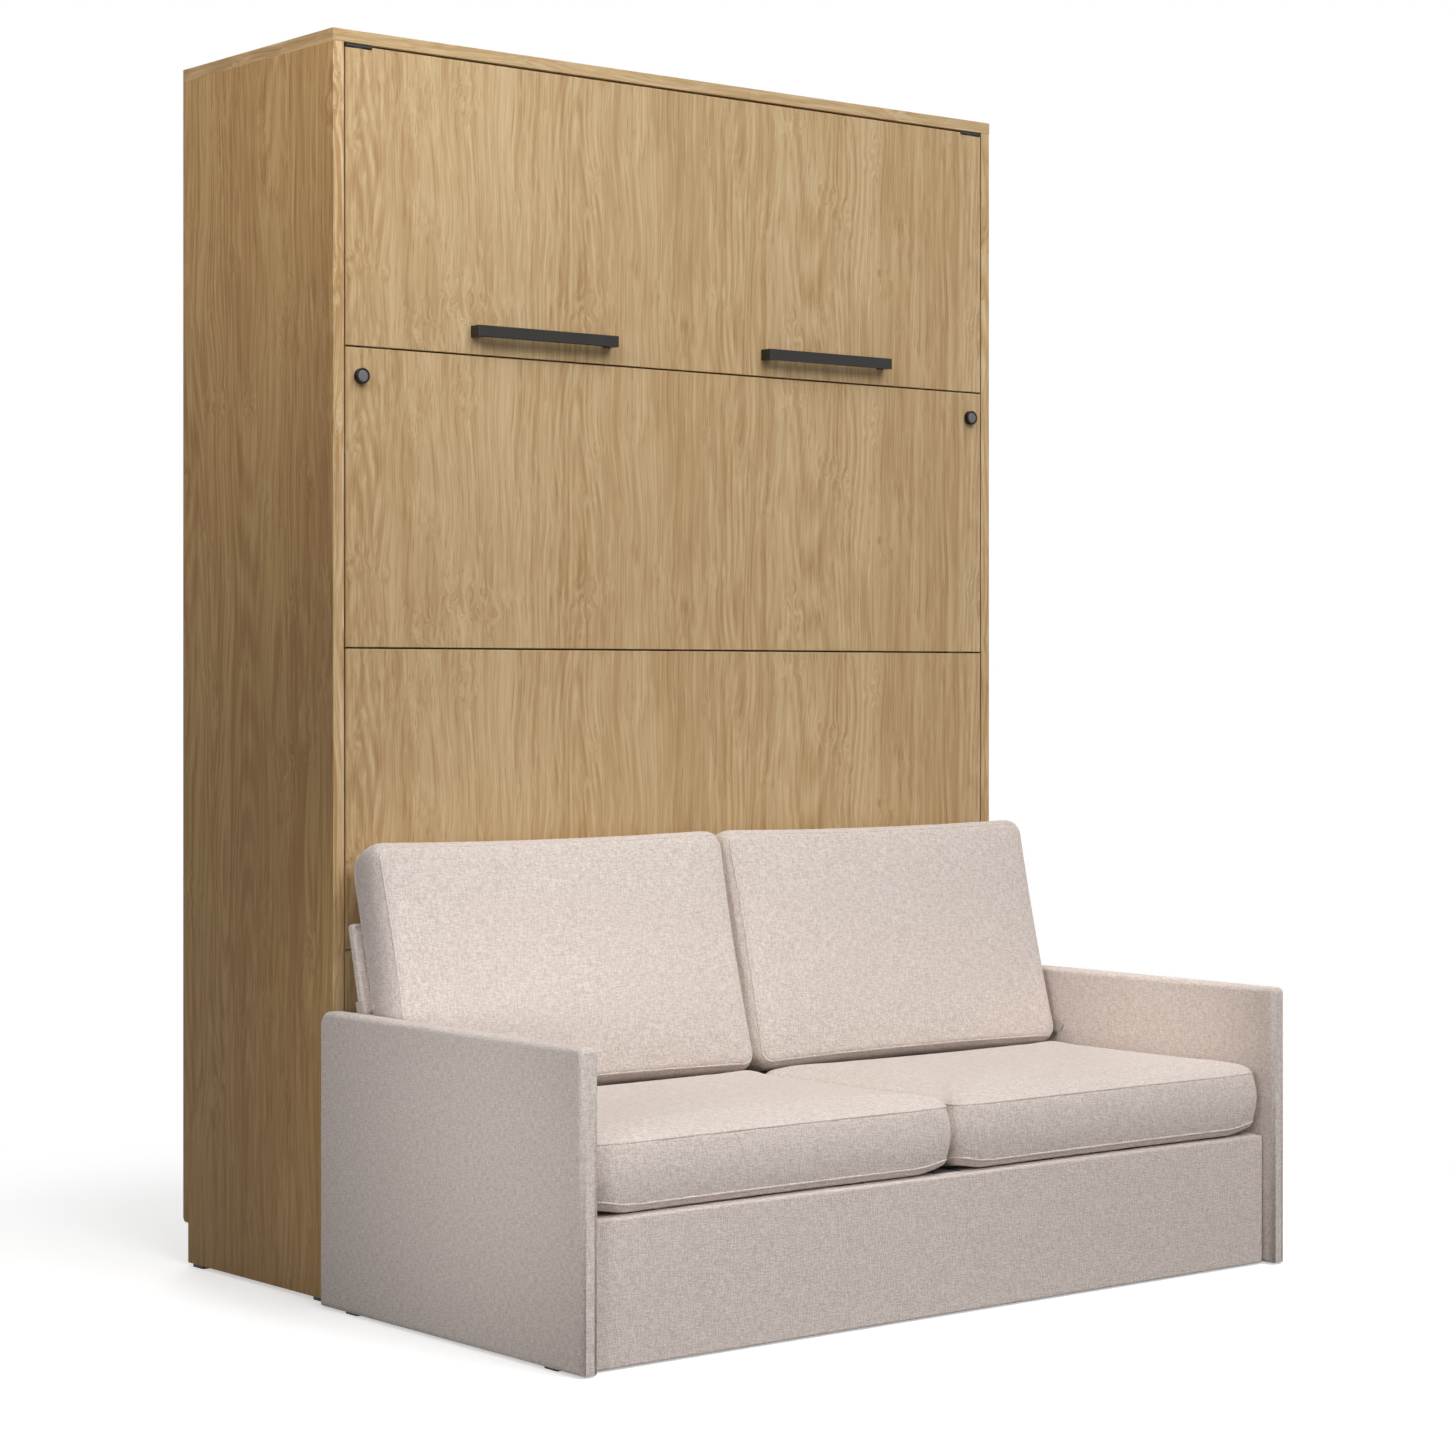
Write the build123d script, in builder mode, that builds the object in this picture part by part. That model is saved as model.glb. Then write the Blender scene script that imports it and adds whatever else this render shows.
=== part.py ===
from build123d import *
import os
from math import cos, hypot, radians, sin

# Wall bed with sofa, in millimetres. Z is up and the front faces -Y.
# The origin is on the floor, under the middle of the whole object.
# The cabinet stands at the rear, the sofa in front of it. Left is -X.

# Cabinet boards
cabinet_depth = 510
board_thick = 22
board_ease = 1
foot_height = 6
foot_length = 34
foot_width = 18
foot_inset = 50
skirting_height = 78
skirting_depth = 18
skirting_round = 10
plinth_top = 84
plinth_set_back = 18
rail_board = 18
top_rail_height = 100
middle_rail_height = 100
middle_rail_floor = 1050
bottom_rail_floor = 84
bottom_rail_height = 80
wall_hole_spacing = 1200
wall_hole_radius = 4

# Mattress and bed front
mattress_width = 1400
mattress_length = 2000
mattress_thick = 160
mattress_corner = 40
mattress_round = 18
panel_thick = 18
panel_count = 4
panel_gap = 3
panel_side_gap = 3
panel_top_gap = 4
panel_floor_gap = 5
panel_ease = 0.8

# Bed frame, measured back from the cabinet face
frame_play = 0.5
rail_thick = 18
rail_depth = 132
head_rail_drop = 6
foot_rail_depth = 82
foot_rail_play = 0.5
mattress_play = 2
mattress_set_back = 62
mattress_head_play = 12
mattress_foot_play = 11.5
side_zone = 28
slat_count = 14
slat_width = 68
slat_thick = 12
slat_corner = 8
slat_crown = 4
holder_depth = 12
holder_height = 78
holder_thick = 8
ledger_width = 26
centre_beam_width = 40
strap_width = 50
strap_thick = 1.2
strap_play = 0.3
strap_share = 0.27

# Bed pivot
pivot_set_back = 30
pivot_pin_radius = 6
pivot_boss_radius = 10
pivot_plate_size = 110
plate_thick = 2.5
bed_plate_thick = 3
running_fit = 0.05
face_play = 0.4
plate_corner = 8

# Fold-out leg
knuckle_radius = 3
knuckle_set_back = 3.2
knuckle_pin_radius = 1.6
hinge_width = 52
hinge_side_gap = 1
notch_depth = 4.5
hinge_leaf = 1.5
hinge_leaf_depth = 60
leg_glide = 2
leg_glide_length = 60
leg_glide_width = 14
leg_glide_inset = 60
floor_play = 0.2

# Handles on the leg panel
handle_length = 308
handle_height = 20
handle_bar_depth = 10
handle_reach = 26
handle_post_width = 18
handle_ease = 0.8
handle_centre_x = 332
handle_rise = 40

# Gas struts
strut_top_back = 300
strut_top_up = 400
strut_foot_back = 70
strut_foot_down = 200
strut_radius = 11
strut_wall = 2
strut_rod_radius = 5
strut_eye_radius = 9
strut_eye_width = 10
strut_rod_eye_width = 8
strut_pin_radius = 4
strut_tube_start = 8
strut_cap = 6
strut_guide = 10
strut_tube_end = 332
strut_rod_start = 315
mount_plate_size = 56

# Locks
lock_edge = 30
lock_drop = 49
knob_radius = 13.5
knob_depth = 10
shaft_radius = 4
tongue_length = 27
tongue_width = 16
tongue_thick = 4
tongue_set_back = 26
strike_lip_reach = 20
strike_set_back = 21.5
strike_length = 40
strike_flange = 40
lock_notch_depth = 16
lock_notch_up = 14
lock_notch_down = 34

# Bed stops
stop_height = 40
stop_depth = 20
stop_drop = 90
stop_reach = 44

# Sofa
sofa_width = 1600
sofa_depth = 750
sofa_gap = 2
sofa_foot_height = 3
sofa_foot_inset = 90
arm_thick = 35
arm_top = 505
arm_rear_round = 25
arm_front_round = 10
arm_edge_ease = 5
apron_set_back = 20
apron_thick = 22
apron_top = 235
apron_round = 5
seat_rail_thick = 26
seat_rail_height = 95
seat_rear_rail_gap = 124
batten_thick = 22
batten_height = 40
centre_leg_radius = 20
centre_rail_height = 45
webbing_count = 7
webbing_width = 60
webbing_thick = 3
seat_play = 0.3

# Cushions
seat_cushion_side_gap = 8
seat_cushion_split = 8
seat_cushion_front = 22
seat_cushion_depth = 533
seat_cushion_boxing = 127
seat_cushion_crown = 11
back_cushion_low = -12
back_cushion_length = 422
back_cushion_boxing = 96
back_cushion_crown = 12
back_cushion_side_gap = 9
back_cushion_split = 6
cushion_bow = 7
cushion_corner = 22
cushion_corner_ease = 8
corner_count = 4

# Folding backrest
back_tilt = 14
back_hinge_front = 208
back_hinge_height = 393
back_hinge_depth = 12
back_board_thick = 18
back_board_side_gap = 5
back_board_low = 20
back_board_high = 292
back_board_round = 4
back_bracket_thick = 3
back_bracket_radius = 9
back_bracket_reach = 160
back_pin_radius = 4
back_pin_length = 22
back_stop_radius = 6
back_stop_reach = 8
back_stop_height = 132

# Fixings between sofa and cabinet, and cabinet and wall
strap_plate = 3
sofa_bracket_floor = 24
sofa_bracket_height = 44
sofa_bracket_arm_length = 70
sofa_bracket_foot = 45
sofa_bracket_step = 32
wall_bracket_leg = 60
wall_bracket_width = 40
wall_bracket_x = 480
overrun = 1

# Places worked out from the sizes above
front_y = -(sofa_depth + cabinet_depth) / 2
face_y = front_y + sofa_depth
rear_y = face_y + cabinet_depth
panel_bottom = plinth_top + panel_floor_gap
head_low = panel_bottom + head_rail_drop
mattress_low = head_low + rail_thick + mattress_head_play
foot_low = mattress_low + mattress_length + mattress_foot_play
foot_top = foot_low + rail_thick
panel_top = foot_top - foot_rail_play
under_top = panel_top + panel_top_gap
cabinet_height = under_top + board_thick
frame_in = mattress_width / 2 + mattress_play
frame_half = frame_in + rail_thick
side_x = frame_half + side_zone
cabinet_width = 2 * (side_x + board_thick)
panel_height = (panel_top - panel_bottom - (panel_count - 1) * panel_gap) / panel_count
panel_half = side_x - panel_side_gap
frame_y = face_y + panel_thick + frame_play
mattress_y = face_y + mattress_set_back
pivot_y = face_y + pivot_set_back
pivot_z = panel_height + leg_glide + floor_play - knuckle_set_back + pivot_set_back
leg_floor = panel_top - panel_height
lock_x = panel_half - lock_edge
lock_z = leg_floor - panel_gap - lock_drop
arm_in = sofa_width / 2 - arm_thick
strut_x = (frame_half + side_x) / 2
strut_y = pivot_y + strut_top_back
strut_z = pivot_z + strut_top_up
strut_rise = strut_top_up + strut_foot_down
strut_run = strut_top_back - strut_foot_back
strut_length = hypot(strut_rise, strut_run)
back_y = face_y - back_hinge_front
back_z = back_hinge_height
tilt = radians(back_tilt)

os.makedirs("parts", exist_ok=True)


def save(piece, name):
    piece.part.label = name
    export_step(piece.part, f"parts/{name}.step")


def save_pair(right, name):
    """The right piece and its mirror image on the left."""
    with BuildPart() as left:
        mirror(right.part, about=Plane.YZ)
    save(left, name + "_left")
    save(right, name + "_right")


def block(x_range, y_range, z_range):
    """A board between two faces each way, added to the piece being made."""
    with BuildSketch(Plane.XY.offset(z_range[0])) as outline:
        with Locations(((x_range[0] + x_range[1]) / 2, (y_range[0] + y_range[1]) / 2)):
            Rectangle(x_range[1] - x_range[0], y_range[1] - y_range[0])
    extrude(outline.sketch, amount=z_range[1] - z_range[0])


def bowed_outline(plane, centre, width, depth):
    """A rounded rectangle on a plane, its sides drawn in between its corners."""
    left, right = centre[0] - width / 2, centre[0] + width / 2
    near, far = centre[1] - depth / 2, centre[1] + depth / 2
    with BuildSketch(plane) as outline:
        with BuildLine():
            Polyline(
                (left, near),
                (centre[0], near + cushion_bow),
                (right, near),
                (right - cushion_bow, centre[1]),
                (right, far),
                (centre[0], far - cushion_bow),
                (left, far),
                (left + cushion_bow, centre[1]),
                close=True,
            )
        make_face()
        chamfer(vertices().sort_by_distance(Vector(*centre))[-corner_count:], cushion_corner)
        chamfer(vertices().sort_by_distance(Vector(*centre))[-2 * corner_count :], cushion_corner_ease)
    return outline.sketch


# Height and inset of each ring of a cushion's crown, as shares of the crown and of the half width
crown_shares = ((0, 0), (0.6, 0.1), (1, 0.4))


def cushion(base, centre, width, depth, boxing, crown):
    """A boxed cushion on a base plane, with a crowned top and drawn-in sides."""
    rings = [bowed_outline(base, centre, width, depth)]
    for rise_share, inset_share in crown_shares:
        margin = inset_share * min(width, depth)
        ring_plane = base.offset(boxing + crown * rise_share)
        rings.append(bowed_outline(ring_plane, centre, width - margin, depth - margin))
    loft(rings, ruled=True)


# Cabinet side panels, notched at the rear for the room's skirting board
with BuildPart() as side_panel:
    with BuildSketch(Plane.YZ.offset(side_x)):
        with BuildLine():
            Polyline(
                (face_y, foot_height),
                (rear_y - skirting_depth, foot_height),
                (rear_y - skirting_depth, skirting_height),
                (rear_y, skirting_height),
                (rear_y, under_top),
                (face_y, under_top),
                close=True,
            )
        make_face()
        fillet(vertices().group_by(Axis.Y)[1].sort_by(Axis.Y)[-1], skirting_round)
    extrude(amount=board_thick)
    chamfer(side_panel.edges().filter_by(Axis.Z).group_by(Axis.Y)[0], board_ease)
save_pair(side_panel, "side_panel")

with BuildPart() as top_panel:
    block((-cabinet_width / 2, cabinet_width / 2), (face_y, rear_y), (under_top, cabinet_height))
    chamfer(top_panel.edges().filter_by(Axis.X).group_by(Axis.Y)[0], board_ease)
save(top_panel, "top_panel")

# Plinth under the bed front
with BuildPart() as plinth_board:
    plinth_y = face_y + plinth_set_back
    block((-side_x, side_x), (plinth_y, plinth_y + rail_board), (foot_height, plinth_top))
save(plinth_board, "plinth_board")

# Three rails across the open back. The top one takes the wall screws.
rear_rail_range = (rear_y - rail_board, rear_y)
with BuildPart() as rear_top_rail:
    block((-side_x, side_x), rear_rail_range, (under_top - top_rail_height, under_top))
    with Locations(Plane.XZ.offset(-rear_rail_range[0])):
        with Locations((0, under_top - top_rail_height / 2)):
            with GridLocations(wall_hole_spacing, 0, 2, 1):
                Hole(wall_hole_radius)
save(rear_top_rail, "rear_top_rail")

with BuildPart() as rear_middle_rail:
    block((-side_x, side_x), rear_rail_range, (middle_rail_floor, middle_rail_floor + middle_rail_height))
save(rear_middle_rail, "rear_middle_rail")

with BuildPart() as rear_bottom_rail:
    block((-side_x, side_x), rear_rail_range, (bottom_rail_floor, bottom_rail_floor + bottom_rail_height))
save(rear_bottom_rail, "rear_bottom_rail")

# Steel angles that tie the top panel to the wall rail
with BuildPart() as wall_brackets:
    for centre_x in (-wall_bracket_x, wall_bracket_x):
        with BuildSketch(Plane.YZ.offset(centre_x - wall_bracket_width / 2)):
            with BuildLine():
                Polyline(
                    (rear_rail_range[0] - strap_plate / 2, under_top - wall_bracket_leg),
                    (rear_rail_range[0] - strap_plate / 2, under_top - strap_plate / 2),
                    (rear_rail_range[0] - wall_bracket_leg, under_top - strap_plate / 2),
                )
                offset(amount=strap_plate / 2, kind=Kind.INTERSECTION)
            make_face()
        extrude(amount=wall_bracket_width)
save(wall_brackets, "wall_brackets")

with BuildPart() as cabinet_feet:
    foot_x = side_x + board_thick / 2
    foot_y = cabinet_depth / 2 - foot_inset
    with BuildSketch():
        with Locations((0, (face_y + rear_y) / 2)):
            with GridLocations(2 * foot_x, 2 * foot_y, 2, 2):
                Rectangle(foot_width, foot_length)
    extrude(amount=foot_height)
save(cabinet_feet, "cabinet_feet")

# Pivot plates on the cabinet sides: a plate, a boss and a pin that carries the bed
with BuildPart() as pivot_plate:
    with BuildSketch(Plane.YZ.offset(side_x - plate_thick)):
        with Locations((pivot_y + pivot_plate_size / 2 - pivot_set_back / 2, pivot_z)):
            Rectangle(pivot_plate_size, pivot_plate_size)
        chamfer(vertices(), plate_corner)
    extrude(amount=plate_thick)
    with BuildSketch(Plane.YZ.offset(frame_half + bed_plate_thick + face_play)):
        with Locations((pivot_y, pivot_z)):
            Circle(pivot_boss_radius)
    extrude(until=Until.NEXT)
    with BuildSketch(Plane.YZ.offset(frame_in + face_play)):
        with Locations((pivot_y, pivot_z)):
            Circle(pivot_pin_radius)
    extrude(until=Until.NEXT)
with BuildPart() as pivot_plates:
    add(pivot_plate.part)
    mirror(pivot_plate.part, about=Plane.YZ)
save(pivot_plates, "pivot_plates")

# Cabinet mounts of the gas struts
with BuildPart() as strut_mount:
    with BuildSketch(Plane.YZ.offset(side_x - plate_thick)):
        with Locations((strut_y, strut_z)):
            Rectangle(mount_plate_size, mount_plate_size)
        chamfer(vertices(), plate_corner)
    extrude(amount=plate_thick)
    with BuildSketch(Plane.YZ.offset(strut_x - strut_eye_width / 2 - overrun)):
        with Locations((strut_y, strut_z)):
            Circle(strut_pin_radius)
    extrude(until=Until.NEXT)
with BuildPart() as strut_mounts:
    add(strut_mount.part)
    mirror(strut_mount.part, about=Plane.YZ)
save(strut_mounts, "strut_mounts")

# Strike plates of the locks: a flange on the side panel and a lip in front of the tongue
with BuildPart() as strike_plate:
    strike_y = face_y + strike_set_back
    strike_z = lock_z - strike_length / 2
    strike_range = (strike_z, strike_z + strike_length)
    block((side_x - plate_thick, side_x), (strike_y, strike_y + strike_flange), strike_range)
    block((side_x - strike_lip_reach, side_x), (strike_y, strike_y + plate_thick), strike_range)
with BuildPart() as strike_plates:
    add(strike_plate.part)
    mirror(strike_plate.part, about=Plane.YZ)
save(strike_plates, "strike_plates")

# Rubber stops behind the bed rails
with BuildPart() as bed_stop:
    stop_y = frame_y + rail_depth
    stop_z = foot_low - stop_drop
    block((side_x - stop_reach, side_x), (stop_y, stop_y + stop_depth), (stop_z - stop_height, stop_z))
    chamfer(bed_stop.edges().filter_by(Axis.Z).group_by(Axis.X)[0], board_ease)
with BuildPart() as bed_stops:
    add(bed_stop.part)
    mirror(bed_stop.part, about=Plane.YZ)
save(bed_stops, "bed_stops")

# Bed front: three panels fixed to the bed frame, numbered from the floor
panel_names = ("front_panel_lower", "front_panel_middle", "front_panel_upper")
for number, name in enumerate(panel_names):
    with BuildPart() as front_panel:
        low = panel_bottom + number * (panel_height + panel_gap)
        block((-panel_half, panel_half), (face_y, face_y + panel_thick), (low, low + panel_height))
        chamfer(front_panel.faces().sort_by(Axis.Y)[0].edges(), panel_ease)
        if name == "front_panel_upper":
            with Locations(Plane.XZ.offset(-face_y)):
                with Locations((0, lock_z)):
                    with GridLocations(2 * lock_x, 0, 2, 1):
                        Hole(shaft_radius + running_fit)
    save(front_panel, name)

# Side rails of the bed frame, notched for the lock tongue and bored for the pivot pin
with BuildPart() as bed_rail:
    block((frame_in, frame_half), (frame_y, frame_y + rail_depth), (head_low, foot_low))
    with BuildSketch(Plane.YZ.offset(frame_in - overrun)):
        with Locations((frame_y + lock_notch_depth / 2, lock_z + (lock_notch_up - lock_notch_down) / 2)):
            Rectangle(lock_notch_depth, lock_notch_up + lock_notch_down)
    extrude(amount=rail_thick + 2 * overrun, mode=Mode.SUBTRACT)
    with BuildSketch(Plane.YZ.offset(frame_in - overrun)):
        with Locations((pivot_y, pivot_z)):
            Circle(pivot_pin_radius + running_fit)
    extrude(amount=rail_thick + 2 * overrun, mode=Mode.SUBTRACT)
    chamfer(bed_rail.edges().filter_by(Axis.X).group_by(Axis.Z)[-1].sort_by(Axis.Y)[-1], rail_thick)
save_pair(bed_rail, "bed_rail")

with BuildPart() as bed_head_rail:
    block((-frame_in, frame_in), (frame_y, frame_y + rail_depth), (head_low, head_low + rail_thick))
save(bed_head_rail, "bed_head_rail")

with BuildPart() as bed_foot_rail:
    block((-frame_half, frame_half), (frame_y, frame_y + foot_rail_depth), (foot_low, foot_top))
save(bed_foot_rail, "bed_foot_rail")

# Beam down the middle and ledgers on the side rails, all under the slats
slat_y = mattress_y - slat_thick - slat_crown
beam_range = (head_low + rail_thick, foot_low)
with BuildPart() as bed_centre_beam:
    block((-centre_beam_width / 2, centre_beam_width / 2), (frame_y, slat_y), beam_range)
save(bed_centre_beam, "bed_centre_beam")

with BuildPart() as slat_ledger:
    block((frame_in - ledger_width, frame_in), (frame_y, slat_y - holder_depth), beam_range)
with BuildPart() as slat_ledgers:
    add(slat_ledger.part)
    mirror(slat_ledger.part, about=Plane.YZ)
save(slat_ledgers, "slat_ledgers")

# Bowed slats, evenly spaced, their ends in plastic holders
slat_pitch = (beam_range[1] - beam_range[0]) / slat_count
slat_half = frame_in - holder_thick
slat_places = [beam_range[0] + slat_pitch * (number + 0.5) for number in range(slat_count)]
# Run along the slat and rise of its bow, as shares of the half length and of the crown
slat_bow_shares = ((-1, 0), (-0.6, 0.65), (0, 1), (0.6, 0.65), (1, 0))
with BuildPart() as slats:
    for slat_z in slat_places:
        with BuildSketch(Plane.XY.offset(slat_z - slat_width / 2)):
            with BuildLine():
                lower = [(slat_half * run, slat_y + slat_crown * rise) for run, rise in slat_bow_shares]
                upper = [(x, y + slat_thick) for x, y in reversed(lower)]
                Polyline(*lower, *upper, close=True)
            make_face()
        extrude(amount=slat_width)
    chamfer(slats.edges().filter_by(Axis.Y), slat_corner)
save(slats, "slats")

with BuildPart() as slat_holders:
    for side in (-1, 1):
        edges_x = sorted((side * frame_in, side * (frame_in - ledger_width)))
        for slat_z in slat_places:
            holder_range = (slat_z - holder_height / 2, slat_z + holder_height / 2)
            block(edges_x, (slat_y - holder_depth, slat_y + slat_thick), holder_range)
            pocket_x = sorted((side * slat_half, side * (slat_half - ledger_width)))
            with BuildSketch(Plane.XY.offset(slat_z - slat_width / 2)):
                with Locations(((pocket_x[0] + pocket_x[1]) / 2, slat_y + slat_thick / 2 + overrun / 2)):
                    Rectangle(pocket_x[1] - pocket_x[0], slat_thick + overrun)
            extrude(amount=slat_width, mode=Mode.SUBTRACT)
save(slat_holders, "slat_holders")

with BuildPart() as mattress:
    with BuildSketch(Plane.XZ.offset(-mattress_y)):
        with Locations((0, mattress_low + mattress_length / 2)):
            RectangleRounded(mattress_width, mattress_length, mattress_corner)
    extrude(amount=-mattress_thick)
    chamfer(mattress.faces().sort_by(Axis.Y)[-1].edges(), mattress_round)
    chamfer(mattress.faces().sort_by(Axis.Y)[0].edges(), mattress_round)
save(mattress, "mattress")

# Two elastic straps that hold the mattress while the bed is upright
strap_half = mattress_width / 2 + strap_play + strap_thick / 2
strap_y = mattress_y + mattress_thick + strap_play + strap_thick / 2
strap_end_y = frame_y + rail_depth / 2
with BuildPart() as mattress_straps:
    for strap_z in (
        mattress_low + mattress_length * strap_share,
        mattress_low + mattress_length * (1 - strap_share),
    ):
        with BuildSketch(Plane.XY.offset(strap_z - strap_width / 2)):
            with BuildLine():
                Polyline(
                    (-strap_half, strap_end_y),
                    (-strap_half, strap_y),
                    (strap_half, strap_y),
                    (strap_half, strap_end_y),
                )
                offset(amount=strap_thick / 2, kind=Kind.INTERSECTION)
            make_face()
        extrude(amount=strap_width)
save(mattress_straps, "mattress_straps")

# Steel plates on the rails, bored for the pivot pins
with BuildPart() as bed_pivot_plate:
    bed_plate_depth = rail_depth - 2 * plate_corner
    with BuildSketch(Plane.YZ.offset(frame_half)):
        with Locations((frame_y + bed_plate_depth / 2, pivot_z)):
            Rectangle(bed_plate_depth, pivot_plate_size)
        chamfer(vertices(), plate_corner)
        with Locations((pivot_y, pivot_z)):
            Circle(pivot_pin_radius + running_fit, mode=Mode.SUBTRACT)
    extrude(amount=bed_plate_thick)
with BuildPart() as bed_pivot_plates:
    add(bed_pivot_plate.part)
    mirror(bed_pivot_plate.part, about=Plane.YZ)
save(bed_pivot_plates, "bed_pivot_plates")

# Studs of the gas struts on the bed rails
with BuildPart() as strut_stud:
    stud_place = (pivot_y + strut_foot_back, pivot_z - strut_foot_down)
    with BuildSketch(Plane.YZ.offset(frame_half)):
        with Locations(stud_place):
            Rectangle(mount_plate_size, mount_plate_size)
        chamfer(vertices(), plate_corner)
    extrude(amount=bed_plate_thick)
    with BuildSketch(Plane.YZ.offset(frame_half)):
        with Locations(stud_place):
            Circle(strut_eye_radius)
    extrude(amount=strut_x - strut_rod_radius - face_play - frame_half)
with BuildPart() as strut_studs:
    add(strut_stud.part)
    mirror(strut_stud.part, about=Plane.YZ)
save(strut_studs, "strut_studs")

# Fold-out leg: the top panel of the bed front, with a notch for each hinge
hinge_out = panel_half - hinge_side_gap
hinge_in = hinge_out - hinge_width
with BuildPart() as leg_panel:
    block((-panel_half, panel_half), (face_y, face_y + panel_thick), (leg_floor, panel_top))
    chamfer(leg_panel.faces().sort_by(Axis.Y)[0].edges(), panel_ease)
    with BuildSketch(Plane.XZ.offset(-face_y + overrun)):
        for side in (-1, 1):
            notch_in = hinge_in - hinge_side_gap
            notch_out = panel_half + overrun
            with Locations((side * (notch_in + notch_out) / 2, panel_top - notch_depth / 2 + overrun / 2)):
                Rectangle(notch_out - notch_in, notch_depth + overrun)
    extrude(amount=-(panel_thick + 2 * overrun), mode=Mode.SUBTRACT)
save(leg_panel, "leg_panel")

# Leg hinges: the knuckles lie on the top front edge of the leg panel
knuckle_y = face_y + knuckle_set_back
knuckle_length = hinge_width / 3
bed_leaf_z = foot_top
with BuildPart() as bed_hinge:
    for start_x in (hinge_in, hinge_out - knuckle_length + face_play):
        with BuildSketch(Plane.YZ.offset(start_x)):
            with Locations((knuckle_y, panel_top)):
                Circle(knuckle_radius)
            with Locations((knuckle_y + hinge_leaf_depth / 2, bed_leaf_z + hinge_leaf / 2)):
                Rectangle(hinge_leaf_depth, hinge_leaf)
            with Locations((knuckle_y, panel_top)):
                Circle(knuckle_pin_radius + running_fit, mode=Mode.SUBTRACT)
        extrude(amount=knuckle_length - face_play)
    leaf_start = frame_y
    leaf_range = (bed_leaf_z, bed_leaf_z + hinge_leaf)
    block((hinge_in, hinge_out), (leaf_start, knuckle_y + hinge_leaf_depth), leaf_range)
with BuildPart() as bed_hinge_leaves:
    add(bed_hinge.part)
    mirror(bed_hinge.part, about=Plane.YZ)
save(bed_hinge_leaves, "bed_hinge_leaves")

with BuildPart() as leg_hinge:
    with BuildSketch(Plane.YZ.offset(hinge_in + knuckle_length)):
        with Locations((knuckle_y, panel_top)):
            Circle(knuckle_radius)
        leaf_low = panel_top - notch_depth
        leaf_end = face_y + panel_thick - knuckle_radius
        with Locations(((face_y + leaf_end) / 2 + board_ease / 2, leaf_low + hinge_leaf)):
            Rectangle(leaf_end - face_y - board_ease, 2 * hinge_leaf)
    extrude(amount=knuckle_length)
    with BuildSketch(Plane.YZ.offset(hinge_in)):
        with Locations((knuckle_y, panel_top)):
            Circle(knuckle_pin_radius)
    extrude(amount=hinge_width)
with BuildPart() as leg_hinge_leaves:
    add(leg_hinge.part)
    mirror(leg_hinge.part, about=Plane.YZ)
save(leg_hinge_leaves, "leg_hinge_leaves")

with BuildPart() as leg_glides:
    with BuildSketch(Plane.XY.offset(leg_floor - leg_glide)):
        with Locations((0, face_y + panel_thick / 2)):
            with GridLocations(2 * (panel_half - leg_glide_inset), 0, 2, 1):
                Rectangle(leg_glide_length, leg_glide_width)
    extrude(amount=leg_glide)
save(leg_glides, "leg_glides")

# Handles: a flat bar on two square posts
handle_z = leg_floor + handle_rise
for side, name in ((-1, "handle_bar_left"), (1, "handle_bar_right")):
    with BuildPart() as handle_bar:
        bar_x = (side * handle_centre_x - handle_length / 2, side * handle_centre_x + handle_length / 2)
        bar_y = (face_y - handle_reach, face_y - handle_reach + handle_bar_depth)
        block(bar_x, bar_y, (handle_z - handle_height / 2, handle_z + handle_height / 2))
        chamfer(handle_bar.faces().sort_by(Axis.Y)[0].edges(), handle_ease)
    save(handle_bar, name)

with BuildPart() as handle_posts:
    post_offset = handle_length / 2 - handle_post_width / 2
    with BuildSketch(Plane.XZ.offset(-face_y)):
        with Locations((0, handle_z)):
            with GridLocations(2 * handle_centre_x, 0, 2, 1):
                with GridLocations(2 * post_offset, 0, 2, 1):
                    Rectangle(handle_post_width, handle_height)
    extrude(amount=handle_reach - handle_bar_depth)
save(handle_posts, "handle_posts")

# Gas struts. The tube hangs on the cabinet mount, the rod runs down beside the bed stud.
strut_direction = Vector(0, -strut_run / strut_length, -strut_rise / strut_length)
strut_top = Vector(strut_x, strut_y, strut_z)


def strut_plane(distance):
    """A plane across the strut, at a distance from its cabinet pin."""
    return Plane(origin=strut_top + strut_direction * distance, x_dir=(1, 0, 0), z_dir=strut_direction)


with BuildPart() as strut_barrel:
    with BuildSketch(strut_plane(strut_tube_start)):
        Circle(strut_radius)
    extrude(amount=strut_tube_end - strut_tube_start)
    with BuildSketch(strut_plane(strut_tube_start + strut_cap)):
        Circle(strut_radius - strut_wall)
    extrude(amount=strut_tube_end - strut_guide - strut_tube_start - strut_cap, mode=Mode.SUBTRACT)
    with BuildSketch(strut_plane(strut_tube_end - strut_guide)):
        Circle(strut_rod_radius + running_fit)
    extrude(amount=strut_guide, mode=Mode.SUBTRACT)
    with BuildSketch(Plane.YZ.offset(strut_x - strut_eye_width / 2)):
        with Locations((strut_y, strut_z)):
            Circle(strut_eye_radius)
    extrude(amount=strut_eye_width)
    with BuildSketch(Plane.YZ.offset(strut_x - strut_radius)):
        with Locations((strut_y, strut_z)):
            Circle(strut_pin_radius + running_fit)
    extrude(amount=2 * strut_radius, mode=Mode.SUBTRACT)
save_pair(strut_barrel, "strut_barrel")

with BuildPart() as strut_rod:
    with BuildSketch(strut_plane(strut_rod_start)):
        Circle(strut_rod_radius)
    extrude(amount=strut_length - strut_rod_start)
    with BuildSketch(Plane.YZ.offset(strut_x - strut_rod_eye_width / 2)):
        with Locations(stud_place):
            Circle(strut_eye_radius)
    extrude(amount=strut_rod_eye_width)
save_pair(strut_rod, "strut_rod")

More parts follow.
